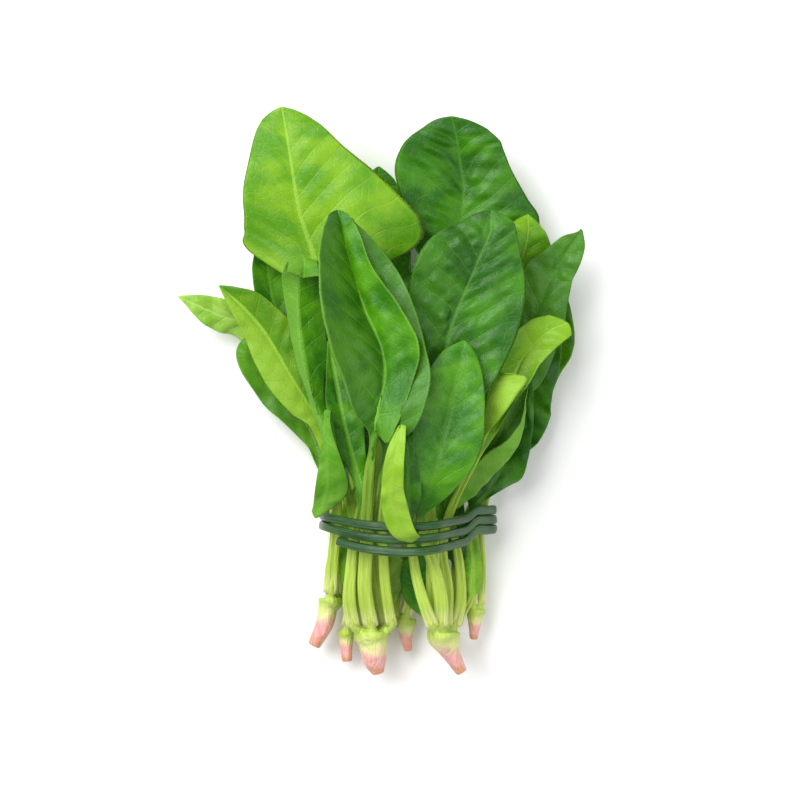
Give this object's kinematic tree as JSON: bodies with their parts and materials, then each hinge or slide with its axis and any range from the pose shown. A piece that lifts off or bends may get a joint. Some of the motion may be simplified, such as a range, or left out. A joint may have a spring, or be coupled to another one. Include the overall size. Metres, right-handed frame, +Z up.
{
  "type": "spinach bunch",
  "caption": "Bunch of fresh spinach plants with crowns and root stubs, tied round the stems with a green band and laid on its back.",
  "frame": {"origin": "middle of the bunch's bounding box in plan, on the surface that the bunch lies on", "axes": "+Y along the bunch from the roots to the leaf tips, +Z up from the surface, +X to the right when the leaf tips point away and the bunch is seen from above"},
  "size_m": [0.2046, 0.2812, 0.1108],
  "materials": {
    "leaf_bright": "satin",
    "leaf_green": "satin",
    "leaf_dark": "satin",
    "leaf_pale": "satin",
    "crown": "satin",
    "tie": "satin"
  },
  "bodies": {
    "root": {"rear_centre_leaf": "leaf_dark", "rear_right_leaf": "leaf_green", "rear_left_leaf": "leaf_green", "far_left_leaf": "leaf_pale", "low_left_leaf": "leaf_green", "rear_tip_leaf": "leaf_green", "rear_edge_leaf": "leaf_green", "veined_right_leaf": "leaf_dark", "pale_shoulder_leaf": "leaf_bright", "top_right_leaf": "leaf_dark", "pointed_right_leaf": "leaf_dark", "low_right_leaf": "leaf_dark", "curled_left_leaf": "leaf_green", "top_left_leaf": "leaf_bright", "bright_left_leaf": "leaf_bright", "inner_pale_leaf": "leaf_pale", "inner_dark_leaf": "leaf_green", "inner_left_leaf": "leaf_bright", "inner_right_leaf": "leaf_bright", "tucked_right_leaf": "leaf_dark", "hooded_leaf": "leaf_green", "hanging_left_leaf": "leaf_green", "middle_left_leaf": "leaf_green", "rolled_right_leaf": "leaf_green", "funnel_leaf": "leaf_bright", "centre_right_leaf": "leaf_dark", "smooth_small_leaf": "leaf_green", "low_front_leaf": "leaf_dark", "grey_edge_leaf": "leaf_dark", "folded_front_leaf": "leaf_green", "hanging_front_leaf": "leaf_bright", "left_crown": "crown", "rear_left_crown": "crown", "rear_middle_crown": "crown", "right_crown": "crown", "front_crown": "crown", "front_right_crown": "crown", "tie": "tie"}
  },
  "joints": []
}
